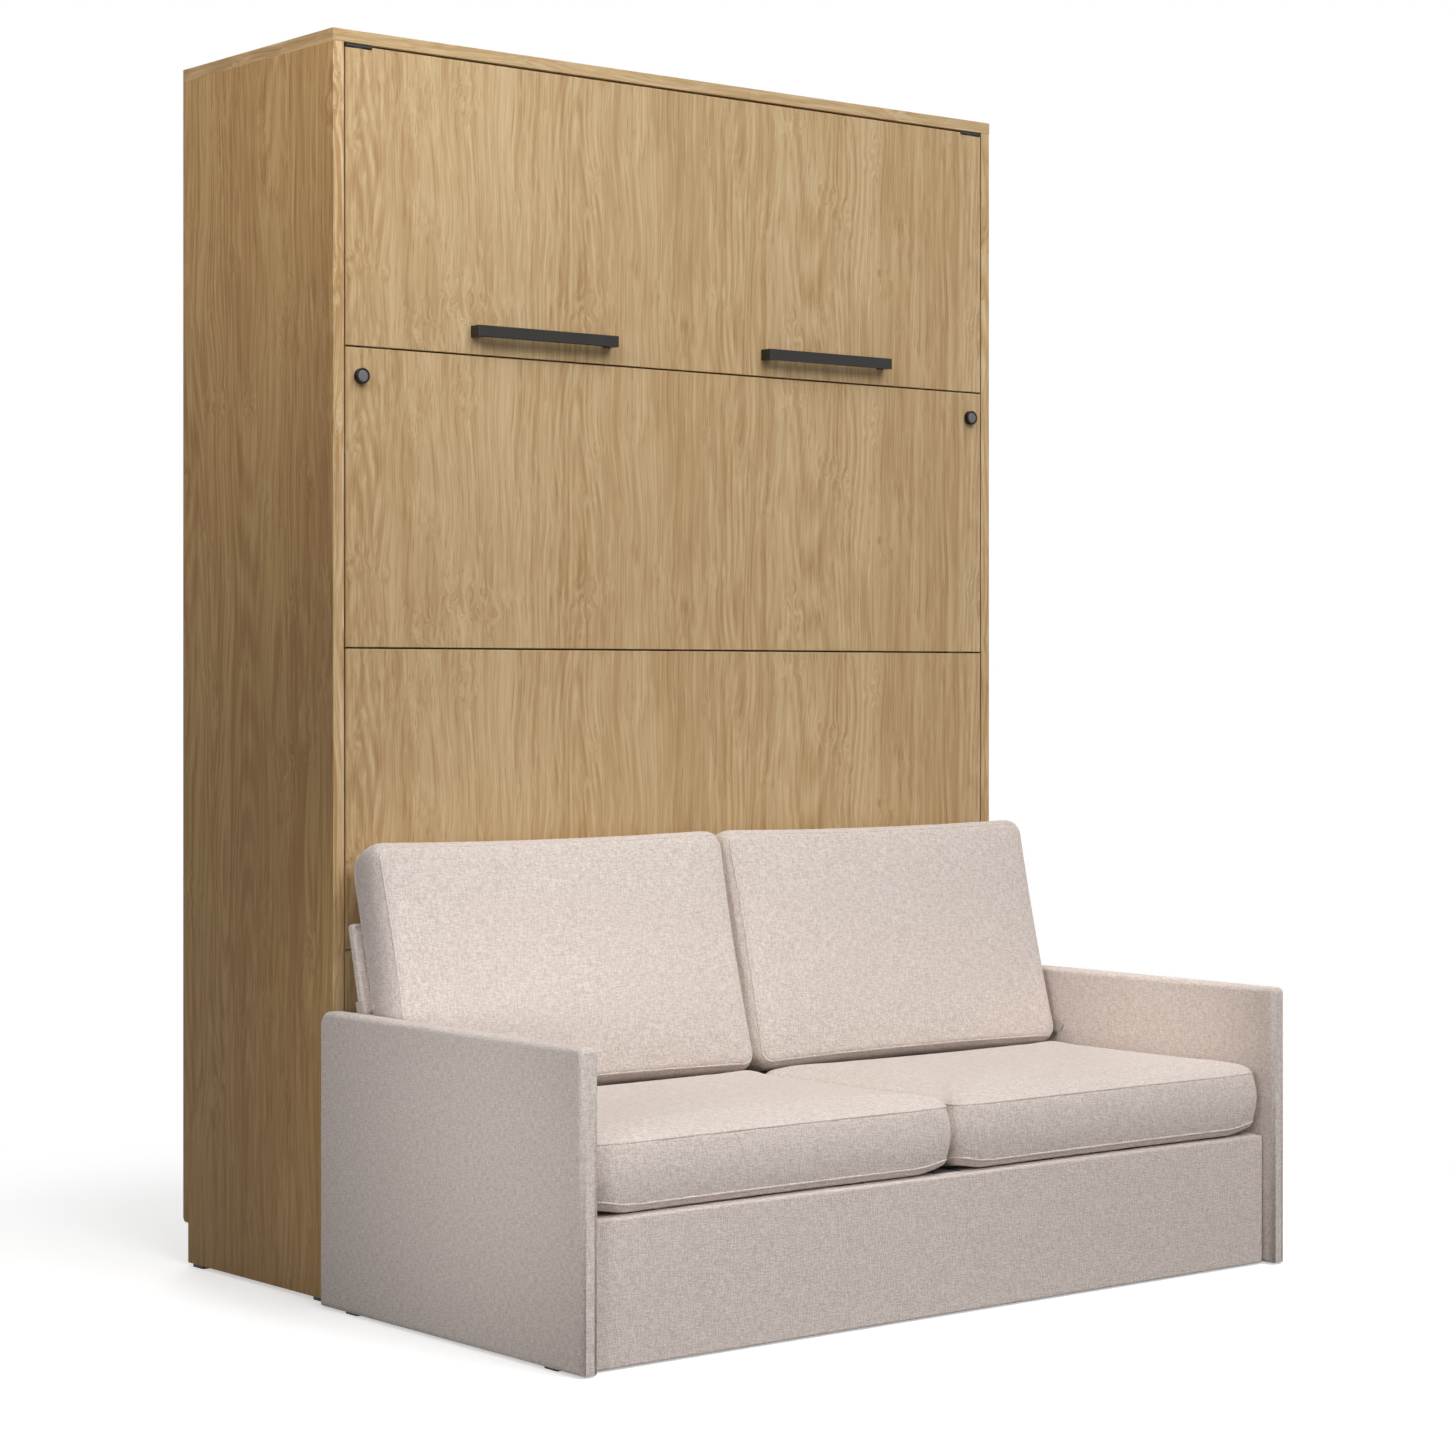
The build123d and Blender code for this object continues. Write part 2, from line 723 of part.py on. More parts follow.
# Locks on the upper panel: a knob and its shaft outside, a tongue behind
with BuildPart() as lock_knob:
    with BuildSketch(Plane.XZ.offset(-face_y + face_play)):
        with Locations((lock_x, lock_z)):
            Circle(knob_radius)
    extrude(amount=knob_depth - face_play)
    with BuildSketch(Plane.XZ.offset(-face_y - tongue_set_back)):
        with Locations((lock_x, lock_z)):
            Circle(shaft_radius)
    extrude(amount=tongue_set_back + face_play + overrun)
save_pair(lock_knob, "lock_knob")

with BuildPart() as lock_tongue:
    with BuildSketch(Plane.XZ.offset(-face_y - tongue_set_back)):
        with Locations((lock_x, lock_z - (tongue_length - tongue_width / 2) / 2)):
            SlotOverall(tongue_length + tongue_width / 2, tongue_width, rotation=90)
    extrude(amount=-tongue_thick)
save_pair(lock_tongue, "lock_tongue")

# Sofa arms: padded boards from the floor up, bored for the backrest pins
with BuildPart() as arm:
    with BuildSketch(Plane.YZ.offset(arm_in)):
        arm_length = sofa_depth - sofa_gap
        with Locations((front_y + arm_length / 2, (arm_top + sofa_foot_height) / 2)):
            Rectangle(arm_length, arm_top - sofa_foot_height)
        fillet(vertices().group_by(Axis.Y)[-1].sort_by(Axis.X)[-1], arm_rear_round)
        fillet(vertices().group_by(Axis.X)[0].sort_by(Axis.Y)[-1], arm_front_round)
    extrude(amount=arm_thick)
    chamfer(arm.faces().sort_by(Axis.X)[-1].edges(), arm_edge_ease)
    with BuildSketch(Plane.YZ.offset(arm_in)):
        with Locations((back_y, back_z)):
            Circle(back_pin_radius + running_fit)
    extrude(amount=back_pin_length, mode=Mode.SUBTRACT)
save_pair(arm, "arm")

with BuildPart() as sofa_apron:
    apron_y = front_y + apron_set_back
    block((-arm_in, arm_in), (apron_y, apron_y + apron_thick), (sofa_foot_height, apron_top))
    fillet(sofa_apron.edges().filter_by(Axis.X).group_by(Axis.Y)[0], apron_round)
save(sofa_apron, "sofa_apron")

# Seat frame: front and rear rails, battens on the arms, a middle rail on a leg
seat_front_y = apron_y + apron_thick
seat_rear_y = face_y - seat_rear_rail_gap
with BuildPart() as seat_rails:
    rail_floor = apron_top - seat_rail_height
    block((-arm_in, arm_in), (seat_front_y, seat_front_y + seat_rail_thick), (rail_floor, apron_top))
    block((-arm_in, arm_in), (seat_rear_y - seat_rail_thick, seat_rear_y), (rail_floor, apron_top))
save(seat_rails, "seat_rails")

between_rails = (seat_front_y + seat_rail_thick, seat_rear_y - seat_rail_thick)
with BuildPart() as seat_battens:
    for side in (-1, 1):
        edges_x = sorted((side * arm_in, side * (arm_in - batten_thick)))
        block(edges_x, between_rails, (apron_top - batten_height, apron_top))
save(seat_battens, "seat_battens")

with BuildPart() as seat_centre_rail:
    centre_rail_low = rail_floor
    centre_rail_top = rail_floor + centre_rail_height
    block((-batten_thick, batten_thick), between_rails, (centre_rail_low, centre_rail_top))
save(seat_centre_rail, "seat_centre_rail")

with BuildPart() as seat_webbing:
    with BuildSketch(Plane.XY.offset(apron_top)):
        with Locations((0, (seat_front_y + seat_rear_y) / 2)):
            with GridLocations(2 * arm_in / webbing_count, 0, webbing_count, 1):
                Rectangle(webbing_width, seat_rear_y - seat_front_y)
    extrude(amount=webbing_thick)
save(seat_webbing, "seat_webbing")

with BuildPart() as sofa_feet:
    with BuildSketch():
        with Locations((0, front_y + sofa_depth / 2)):
            with GridLocations(2 * (arm_in + arm_thick / 2), sofa_depth - 2 * sofa_foot_inset, 2, 2):
                Rectangle(foot_width, foot_length)
    extrude(amount=sofa_foot_height)
    with BuildSketch():
        with Locations((0, (between_rails[0] + between_rails[1]) / 2)):
            Circle(centre_leg_radius)
    extrude(amount=centre_rail_low)
save(sofa_feet, "sofa_feet")

# Folded steel straps from the arms to the plinth, under the bed front
with BuildPart() as sofa_bracket:
    half = strap_plate / 2
    step_x = arm_in - sofa_bracket_step - half
    with BuildSketch(Plane.XY.offset(sofa_bracket_floor)):
        with BuildLine():
            Polyline(
                (arm_in - half, face_y - sofa_bracket_arm_length),
                (arm_in - half, face_y - sofa_gap - half),
                (step_x, face_y - sofa_gap - half),
                (step_x, face_y + plinth_set_back - half),
                (step_x - sofa_bracket_foot, face_y + plinth_set_back - half),
            )
            offset(amount=half, kind=Kind.INTERSECTION)
        make_face()
    extrude(amount=sofa_bracket_height)
with BuildPart() as sofa_brackets:
    add(sofa_bracket.part)
    mirror(sofa_bracket.part, about=Plane.YZ)
save(sofa_brackets, "sofa_brackets")

# Seat cushions
seat_cushion_floor = Plane.XY.offset(apron_top + webbing_thick + seat_play)
seat_cushion_width = arm_in - seat_cushion_side_gap - seat_cushion_split / 2
seat_cushion_x = (seat_cushion_split / 2 + arm_in - seat_cushion_side_gap) / 2
with BuildPart() as seat_cushion:
    centre_y = front_y + seat_cushion_front + seat_cushion_depth / 2
    cushion(
        seat_cushion_floor,
        (seat_cushion_x, centre_y),
        seat_cushion_width,
        seat_cushion_depth,
        seat_cushion_boxing,
        seat_cushion_crown,
    )
save_pair(seat_cushion, "seat_cushion")

# Folding backrest. The hinge pins lie a little behind the cushions' front crown and as
# far above the seat, so the folded backrest lies flat on the seat.
back_normal = Vector(0, -cos(tilt), sin(tilt))
back_stack = back_board_thick + back_cushion_boxing + back_cushion_crown
back_pin_out = back_stack - back_hinge_depth
back_origin = Vector(0, back_y, back_z) - back_normal * back_pin_out
back_plane = Plane(origin=back_origin, x_dir=(1, 0, 0), z_dir=back_normal)
back_board_half = arm_in - back_board_side_gap
with BuildPart() as backrest_board:
    with BuildSketch(back_plane):
        with Locations((0, (back_board_high - back_board_low) / 2)):
            Rectangle(2 * back_board_half, back_board_high + back_board_low)
    extrude(amount=back_board_thick)
    chamfer(backrest_board.edges(), back_board_round)
save(backrest_board, "backrest_board")

with BuildPart() as back_cushion:
    half_width = (arm_in - back_cushion_side_gap - back_cushion_split / 2) / 2
    cushion(
        back_plane.offset(back_board_thick + seat_play),
        (back_cushion_split / 2 + half_width, back_cushion_low + back_cushion_length / 2),
        2 * half_width,
        back_cushion_length,
        back_cushion_boxing,
        back_cushion_crown - seat_play,
    )
save_pair(back_cushion, "back_cushion")

# Steel side brackets of the backrest: a bar along the board's end, an arm to the hinge pin
with BuildPart() as backrest_bracket:
    board_end = back_origin + Vector(back_board_half, 0, 0)
    side_plane = Plane(origin=board_end, x_dir=back_normal, z_dir=(-1, 0, 0))
    with BuildSketch(side_plane):
        with BuildLine():
            Polyline(
                (0, 0),
                (back_pin_out, -back_bracket_radius),
                (back_pin_out + back_bracket_radius, 0),
                (back_pin_out, back_bracket_radius),
                (back_board_thick, back_bracket_reach / 2),
                (back_board_thick, back_bracket_reach),
                (0, back_bracket_reach),
                close=True,
            )
        make_face()
    extrude(amount=-back_bracket_thick)
    with BuildSketch(Plane.YZ.offset(back_board_half)):
        with Locations((back_y, back_z)):
            Circle(back_pin_radius)
    extrude(amount=arm_in - back_board_half + back_pin_length - overrun)
save_pair(backrest_bracket, "backrest_bracket")

# Steel stop pins in the arms, behind the backrest board
with BuildPart() as backrest_stops:
    stop_point = back_plane.from_local_coords((0, back_stop_height, -back_stop_radius - seat_play))
    for side in (-1, 1):
        stop_start = arm_in - back_stop_reach if side > 0 else -arm_in
        with BuildSketch(Plane.YZ.offset(stop_start)):
            with Locations((stop_point.Y, stop_point.Z)):
                Circle(back_stop_radius)
        extrude(amount=back_stop_reach)
save(backrest_stops, "backrest_stops")

print("pivot", pivot_y, pivot_z, "panel height", panel_height)
print("knuckle", knuckle_y, panel_top, "lock", lock_x, lock_z)
print("strut", strut_x, strut_y, strut_z, "length", strut_length, "direction", strut_direction)
print("backrest hinge", back_y, back_z)
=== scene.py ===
import math

import bmesh
import bpy
from mathutils import Matrix, Vector, noise
from mathutils.bvhtree import BVHTree
from mathutils.kdtree import KDTree


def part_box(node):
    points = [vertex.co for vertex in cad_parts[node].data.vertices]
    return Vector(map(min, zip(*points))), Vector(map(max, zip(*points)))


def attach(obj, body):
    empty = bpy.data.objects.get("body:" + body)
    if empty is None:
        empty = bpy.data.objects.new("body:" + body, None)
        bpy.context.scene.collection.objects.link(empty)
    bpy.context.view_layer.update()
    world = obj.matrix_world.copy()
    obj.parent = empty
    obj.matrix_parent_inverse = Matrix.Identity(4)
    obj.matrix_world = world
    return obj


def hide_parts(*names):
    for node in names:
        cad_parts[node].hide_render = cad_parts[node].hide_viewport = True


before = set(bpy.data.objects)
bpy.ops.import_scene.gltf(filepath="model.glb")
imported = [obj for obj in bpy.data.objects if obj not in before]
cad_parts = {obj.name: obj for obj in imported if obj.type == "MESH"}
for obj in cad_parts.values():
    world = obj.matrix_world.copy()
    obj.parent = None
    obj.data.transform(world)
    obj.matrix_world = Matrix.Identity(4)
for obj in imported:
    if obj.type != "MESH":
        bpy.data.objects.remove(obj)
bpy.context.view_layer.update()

# The view of the photograph. A level camera stands to the left in front of the bed,
# about a metre up, and its horizon lies a little above the middle of the picture.
camera_data = bpy.data.cameras.new("view_camera")
camera_data.sensor_width = 36
camera_data.lens = 81.799
camera_data.shift_y = -0.03007
camera = bpy.data.objects.new("view_camera", camera_data)
camera.location = (-3.78846, -4.66592, 1.06413)
camera.rotation_euler = (math.pi / 2, 0, -0.68102)
bpy.context.collection.objects.link(camera)
bpy.context.scene.camera = camera
bpy.context.scene.view_settings.view_transform = "Standard"

# The studio. A white floor that fades into a white sky, one large soft lamp above the
# front, one behind, and small ones on the left that lift the side, the seat and the arms.
white = (1, 1, 1, 1)
grey_felt = (0.3, 0.295, 0.29, 1)


class Wire:
    """A socket of a shader, which can stand in a sum, and which adds nodes to its shader."""

    def __init__(self, tree, socket=None):
        self.tree = tree
        self.socket = socket

    def node(self, kind, settings=None, inputs=None, output=0):
        made = self.tree.nodes.new(kind)
        for name, value in (settings or {}).items():
            if name == "stops":
                stops = made.color_ramp.elements
                while len(stops) < len(value):
                    stops.new(1)
                for stop, (place, colour) in zip(stops, value):
                    stop.position = place
                    stop.color = colour
            else:
                setattr(made, name, value)
        for name, value in (inputs or {}).items():
            if isinstance(value, Wire):
                self.tree.links.new(value.socket, made.inputs[name])
            else:
                made.inputs[name].default_value = value
        return Wire(self.tree, made.outputs[output] if made.outputs else None)

    def maths(self, operation, first, second):
        return self.node("ShaderNodeMath", {"operation": operation}, {0: first, 1: second})

    def __add__(self, other):
        return self.maths("ADD", self, other)

    __radd__ = __add__

    def __sub__(self, other):
        return self.maths("SUBTRACT", self, other)

    def __rsub__(self, other):
        return self.maths("SUBTRACT", other, self)

    def __mul__(self, other):
        return self.maths("MULTIPLY", self, other)

    __rmul__ = __mul__

    def vector(self, operation, other):
        return self.node("ShaderNodeVectorMath", {"operation": operation}, {0: self, 1: other})

    def stretched(self, factors):
        return self.vector("MULTIPLY", factors)

    def noise(self, factors, detail=2.0, roughness=0.5, output=0):
        inputs = {"Vector": self.stretched(factors), "Scale": 1.0, "Detail": detail,
                  "Roughness": roughness}
        return self.node("ShaderNodeTexNoise", {}, inputs, output)

    def between(self, low, high):
        inputs = {0: self, 1: low, 2: high}
        return self.node("ShaderNodeMapRange", {"interpolation_type": "SMOOTHSTEP"}, inputs)

    def backdrop_rays(self):
        """1 for the rays that see the backdrop: the camera's, and those that metal and glass send on."""
        paths = [self.node("ShaderNodeLightPath", output=name)
                 for name in ("Is Camera Ray", "Is Glossy Ray", "Is Transmission Ray")]
        return self.maths("MAXIMUM", self.maths("MAXIMUM", paths[0], paths[1]), paths[2])

    def mixed(self, first, second):
        return self.node("ShaderNodeMix", {"data_type": "RGBA"}, {0: self, 6: first, 7: second}, 2)


def colour(red, green, blue):
    """A colour as a screen shows it, turned into the shader's own scale."""
    parts = [part / 255 for part in (red, green, blue)]
    return (*(part / 12.92 if part <= 0.04045 else ((part + 0.055) / 1.055) ** 2.4 for part in parts), 1)


def open_material(name):
    """An empty material, with a wire that carries the place on the object."""
    material = bpy.data.materials.new(name)
    material.use_nodes = True
    material.node_tree.nodes.clear()
    where = Wire(material.node_tree).node("ShaderNodeTexCoord", output="Object")
    return material, where


def close_material(where, base, roughness, height=None, depth=0.001, **held):
    """Joins the colour, roughness and relief to the surface. Held values are the same all over."""
    inputs = {"Base Color": base, "Roughness": roughness}
    if height is not None:
        relief = {"Height": height, "Distance": depth, "Strength": 1.0}
        inputs["Normal"] = where.node("ShaderNodeBump", {}, relief)
    inputs.update({name.replace("_", " "): value for name, value in held.items()})
    surface = where.node("ShaderNodeBsdfPrincipled", {}, inputs)
    where.node("ShaderNodeOutputMaterial", {}, {"Surface": surface})


floor_size = 60
floor_grey = 0.8
floor_glow = 0.5
lit_floor = (1.1, 2.1)
floor_mesh = bpy.data.meshes.new("studio_floor")
floor_shape = bmesh.new()
bmesh.ops.create_grid(floor_shape, x_segments=1, y_segments=1, size=floor_size / 2)
floor_shape.to_mesh(floor_mesh)
floor_shape.free()
floor = bpy.data.objects.new("studio_floor", floor_mesh)
bpy.context.collection.objects.link(floor)
material, where = open_material("studio_floor")
rays = where.backdrop_rays()
shaded = where.node("ShaderNodeBsdfDiffuse", {}, {"Color": (floor_grey, floor_grey, floor_grey, 1)})
glow = where.node("ShaderNodeEmission", {}, {"Color": white, "Strength": floor_glow})
near = where.node("ShaderNodeAddShader", {}, {0: shaded, 1: glow})
far = where.node("ShaderNodeEmission", {}, {"Color": white, "Strength": 1.0})
away = where.vector("SUBTRACT", (-0.15, 0.1, 0))
away = away.node("ShaderNodeVectorMath", {"operation": "LENGTH"}, {0: away}, "Value")
seen = where.node("ShaderNodeMixShader", {}, {0: away.between(*lit_floor), 1: near, 2: far})
felt = where.node("ShaderNodeBsdfDiffuse", {}, {"Color": grey_felt})
surface = where.node("ShaderNodeMixShader", {}, {0: rays, 1: felt, 2: seen})
where.node("ShaderNodeOutputMaterial", {}, {"Surface": surface})
floor_mesh.materials.append(material)

world = bpy.data.worlds.new("studio_sky")
world.use_nodes = True
world.node_tree.nodes.clear()
sky = Wire(world.node_tree)
rays = sky.backdrop_rays()
fill = sky.node("ShaderNodeBackground", {}, {"Color": white, "Strength": 0.18})
seen = sky.node("ShaderNodeBackground", {}, {"Color": white, "Strength": 1.0})
surface = sky.node("ShaderNodeMixShader", {}, {0: rays, 1: fill, 2: seen})
sky.node("ShaderNodeOutputWorld", {}, {"Surface": surface})
bpy.context.scene.world = world


def soft_lamp(name, place, aim, size, power, spread=180):
    """A round lamp of its own size, which lights the object but isn't seen."""
    data = bpy.data.lights.new(name, "AREA")
    data.shape = "DISK"
    data.size = size
    data.energy = power
    data.spread = math.radians(spread)
    lamp = bpy.data.objects.new(name, data)
    lamp.location = place
    lamp.rotation_euler = (Vector(aim) - Vector(place)).to_track_quat("-Z", "Y").to_euler()
    lamp.visible_camera = False
    bpy.context.collection.objects.link(lamp)


soft_lamp("lamp_front", (0.2, -4.5, 6.6), (0, 0, 0.9), 7.0, 475)
soft_lamp("lamp_left", (-2.6, -1.0, 3.0), (-0.77, 0.35, 2.2), 1.0, 5.0, spread=60)
soft_lamp("lamp_low", (-2.5, -1.4, 0.55), (-0.8, -0.36, 0.34), 0.5, 0.75, spread=34)
soft_lamp("lamp_rear", (1.5, 4.5, 4.5), (0, 0.5, 1.0), 3.0, 110)
soft_lamp("lamp_seat", (-0.25, -1.7, 3.0), (-0.2, -0.45, 0.36), 0.5, 0.75, spread=38)
soft_lamp("lamp_arm", (-1.6, -1.1, 1.3), (0.77, -0.38, 0.44), 0.3, 0.2, spread=17)
soft_lamp("lamp_back", (-2.5, -2.0, 1.1), (-0.76, -0.1, 0.66), 0.5, 0.08, spread=12)


# Cabinet boards and bed fronts: chipboard in an oak decor with a light grain that runs
# up the fronts and sides and along the top. Edges are banded in the same decor.
def oak_shades(level, warmth):
    """The decor's four shades, as light as the level says and with less blue where it is warm."""
    shades = {"light": (222, 196, 154), "middle": (203, 172, 127), "dark": (180, 143, 97),
              "pore": (152, 116, 74)}
    red, green, blue = level, level * (1 - 0.35 * warmth), level * (1 - warmth)
    return {name: colour(r * red, g * green, b * blue) for name, (r, g, b) in shades.items()}


def oak_grain(board, contrast):
    """The decor's tone, and where its pale flecks and dark pores lie, on a board that runs along Z."""
    # Long leaning waves and short ones, and small eyes round which the grain curls
    half = (0.5, 0.5, 0.5)
    lean = board.noise((5, 5, 2.2), detail=1, output=1).vector("SUBTRACT", half)
    sway = board.noise((18, 18, 6), detail=0, output=1).vector("SUBTRACT", half)
    eye = board.noise((13, 13, 8), detail=0).between(0.6, 0.8)
    curl = board.noise((52, 52, 24), detail=0, output=1).vector("SUBTRACT", half)
    curl = curl.node("ShaderNodeVectorMath", {"operation": "SCALE"}, {0: curl, "Scale": eye})
    fibre = board.vector("ADD", lean.stretched((0.05, 0.05, 0)))
    fibre = fibre.vector("ADD", sway.stretched((0.012, 0.012, 0)))
    fibre = fibre.vector("ADD", curl.stretched((0.03, 0.03, 0)))
    # Broad bands, streaks, fine lines and growth rings, which show more in some places
    bands = fibre.noise((8, 8, 0.5), detail=1)
    streaks = fibre.noise((65, 65, 1.6), detail=3, roughness=0.62)
    lines = fibre.noise((290, 290, 5), detail=3, roughness=0.65)
    rings = fibre.noise((10, 10, 0.9), detail=0) * 105
    rings = rings.node("ShaderNodeMath", {"operation": "SINE"}, {0: rings})
    figured = board.noise((7, 7, 1.0), detail=1).between(0.42, 0.6)
    tone = bands * 0.45 + streaks * 0.85 + lines * 0.85 + rings * (figured * 0.08 + 0.02) - 1.075
    tone = tone * contrast + 0.5
    # Short pale flecks stand in columns, and dark pores gather in others
    flecks = fibre.noise((150, 150, 20), detail=1).between(0.54, 0.7)
    flecks = flecks * fibre.noise((12, 12, 1.2), detail=1).between(0.48, 0.62) * 0.5
    pores = fibre.noise((420, 420, 9), detail=1).between(0.58, 0.72)
    pores = pores * (fibre.noise((40, 40, 2.4), detail=2).between(0.45, 0.62) * 0.4 + 0.12)
    return tone, flecks, pores, lines


def oak_base(grain, shades):
    tone, flecks, pores, lines = grain
    stops = [(0.2, shades["dark"]), (0.5, shades["middle"]), (0.8, shades["light"])]
    base = tone.node("ShaderNodeValToRGB", {"stops": stops}, {"Fac": tone})
    return pores.mixed(flecks.mixed(base, shades["light"]), shades["pore"])


cabinet_face = 0.121
top_band = 0.7694


def oak(name, along="Z", place=(0, 0, 0), level=0.94, warmth=0.0, contrast=1.0, banded=None):
    """The oak decor. A band on the front edge, or on the ends, has a level or grain of its own."""
    material, where = open_material(name)
    turns = {"Z": (0, 0, 0), "X": (0, math.pi / 2, 0), "Y": (math.pi / 2, 0, 0)}
    laid = {"Vector": where, "Location": place, "Rotation": turns[along]}
    board = where.node("ShaderNodeMapping", {}, laid)
    grain = oak_grain(board, contrast)
    base = oak_base(grain, oak_shades(level, warmth))
    if banded == "front":
        inward = where.node("ShaderNodeSeparateXYZ", {}, {"Vector": where}, "Y")
        band = oak_base(grain, oak_shades(0.98, 0))
        base = inward.between(cabinet_face - 0.0002, cabinet_face + 0.0002).mixed(band, base)
    if banded == "ends":
        outward = where.node("ShaderNodeSeparateXYZ", {}, {"Vector": where}, "X")
        outward = outward.node("ShaderNodeMath", {"operation": "ABSOLUTE"}, {0: outward})
        strip = where.node("ShaderNodeMapping", {}, {"Vector": where, "Rotation": turns["Y"]})
        # The end band's grain runs along Y, and it is painted a little darker and warmer than the top:
        # painted shade.
        end = oak_base(oak_grain(strip, 1.3), oak_shades(0.93, 0.06))
        base = outward.between(top_band - 0.0002, top_band + 0.0002).mixed(base, end)
    tone, flecks, pores, lines = grain
    close_material(where, base, 0.46 + lines * 0.12, tone * 0.6 - pores, 0.00025,
                   Specular_IOR_Level=0.25)
    return material


def paint(material, *nodes):
    """Gives a material to CAD nodes that stay as they are."""
    for name in nodes:
        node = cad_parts[name]
        node.data.materials.clear()
        node.data.materials.append(material)


# The side faces are painted darker and warmer than the fronts: painted shade for the shaded sides. The
# band on their front edge is kept as light as the fronts.
paint(oak("oak_sides_painted_shade", level=0.87, warmth=0.22, contrast=1.5, banded="front"),
      "side_panel_left", "side_panel_right")
# The top's end bands are painted a little darker and warmer than the top, as painted shade.
paint(oak("oak_top_shaded_ends", "X", (0.3, 0.1, 0.7), banded="ends"), "top_panel")
paint(oak("oak_rails", "X", (1.1, 0.4, 0.2)),
      "rear_top_rail", "rear_middle_rail", "rear_bottom_rail", "plinth_board")
paint(oak("oak_front_upper", "Z", (0.2, 0, 0.55)), "leg_panel")
paint(oak("oak_front_middle", "Z", (0.2, 0, 1.07)), "front_panel_upper")
paint(oak("oak_front_lower", "Z", (0.2, 0, 1.58)), "front_panel_middle")
paint(oak("oak_front_bottom", "Z", (0.2, 0, 2.1)), "front_panel_lower")

# Handles, hinges and strut barrels: steel, powder coated in black, satin on the handles.
# The handles' square bars stand on two posts each, screwed to the leg panel from behind.
def black_coat(name, shade, roughness, metallic):
    material, where = open_material(name)
    fleck = where.noise((900, 900, 900), detail=2)
    worn = where.noise((30, 30, 30), detail=2)
    base = (fleck * 0.5 + worn * 0.5).mixed(colour(*shade), colour(*(part + 16 for part in shade)))
    close_material(where, base, roughness + worn * 0.14, fleck, 0.00004, Metallic=metallic)
    return material


black_metal = black_coat("black_satin", (42, 41, 39), 0.3, 0.6)
paint(black_metal, "handle_bar_left", "handle_bar_right", "handle_posts")
paint(black_coat("black_powder", (26, 25, 24), 0.6, 0.0), "bed_hinge_leaves", "leg_hinge_leaves",
      "strut_barrel_left", "strut_barrel_right")


# Lock knobs: turned discs of black steel with a raised rim round a dished grey face,
# each on a shaft that goes through the upper front panel to its tongue behind it.
def show(name, shape, material, body, nodes, smooth=True):
    """Turns a bmesh into a finished piece that rides on a body and stands for CAD nodes."""
    mesh = bpy.data.meshes.new(name)
    shape.to_mesh(mesh)
    shape.free()
    for face in mesh.polygons:
        face.use_smooth = smooth and max(abs(part) for part in face.normal) < 0.9999
    mesh.materials.append(material)
    piece = bpy.data.objects.new(name, mesh)
    bpy.context.collection.objects.link(piece)
    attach(piece, body)
    if nodes:
        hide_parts(*nodes)
    return piece


# Radius of each turned step, and how far it stands out of the panel
knob_profile = [(0, 0.0093), (0.0088, 0.0093), (0.0096, 0.0089), (0.0102, 0.0089),
                (0.0108, 0.0098), (0.0126, 0.0098), (0.0135, 0.0088), (0.0135, 0.0002),
                (0.005, 0.0002), (0.005, -0.026), (0, -0.026)]
knob_rim_inside = (0.0096, 0.0101)
knob_place = (0.715, 0, 1.588)


def knob_metal():
    material, where = open_material("knob_satin")
    brushed = where.noise((700, 700, 700), detail=2)
    cloud = where.noise((60, 60, 60), detail=1)
    middle = where.node("ShaderNodeVectorMath", {"operation": "ABSOLUTE"}, {0: where})
    middle = middle.vector("SUBTRACT", knob_place).stretched((1, 0, 1))
    radius = middle.node("ShaderNodeVectorMath", {"operation": "LENGTH"}, {0: middle}, "Value")
    worn = (brushed * 0.5 + cloud * 0.5).mixed(colour(84, 82, 82), colour(122, 120, 119))
    base = radius.between(*knob_rim_inside).mixed(worn, colour(24, 23, 23))
    close_material(where, base, 0.34 + brushed * 0.14, brushed, 0.00003, Metallic=0.6)
    return material


knob_satin = knob_metal()
for side in ("left", "right"):
    low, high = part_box("lock_knob_" + side)
    centre = Vector(((low.x + high.x) / 2, low.y + 0.01, (low.z + high.z) / 2))
    shape = bmesh.new()
    points = [shape.verts.new((radius, -proud, 0)) for radius, proud in knob_profile]
    run = [shape.edges.new(pair) for pair in zip(points, points[1:])]
    bmesh.ops.spin(shape, geom=points + run, cent=(0, 0, 0), axis=(0, 1, 0), angle=2 * math.pi,
                   steps=48, use_merge=True)
    bmesh.ops.remove_doubles(shape, verts=shape.verts, dist=0.00001)
    bmesh.ops.recalc_face_normals(shape, faces=shape.faces)
    bmesh.ops.translate(shape, vec=centre, verts=shape.verts)
    show("turned_knob_" + side, shape, knob_satin, "lock_" + side,
         ["lock_knob_" + side], smooth=False)


# Plates, tongues, angles and stop pins, cut and bent from zinc plated steel, and the
# gas struts' rods, ground and chromed.
def plated(name, shade, roughness):
    material, where = open_material(name)
    brushed = where.noise((90, 1200, 90), detail=3)
    cloud = where.noise((22, 22, 22), detail=3)
    base = cloud.mixed(colour(*shade), colour(*(part - 26 for part in shade)))
    close_material(where, base, roughness + brushed * 0.12, brushed, 0.00003, Metallic=1.0)
    return material


paint(plated("zinc_plate", (200, 202, 206), 0.3), "backrest_stops", "bed_pivot_plates", "lock_tongue_left",
      "lock_tongue_right", "pivot_plates", "sofa_brackets", "strike_plates", "strut_mounts", "strut_studs",
      "wall_brackets")
paint(plated("chromed_rod", (226, 228, 232), 0.08), "strut_rod_left", "strut_rod_right")


# Bed frame: pale melamine-faced board rails, beech slats bent in a press, plastic slat
# caps, softwood seat rails, rubber stops and black plastic glides.
def pale_board(name):
    material, where = open_material(name)
    speck = where.noise((700, 700, 700), detail=2)
    cloud = where.noise((6, 6, 6), detail=2)
    base = (speck * 0.4 + cloud * 0.6).mixed(colour(228, 223, 214), colour(240, 236, 229))
    close_material(where, base, 0.42 + speck * 0.12, speck, 0.00006)
    return material


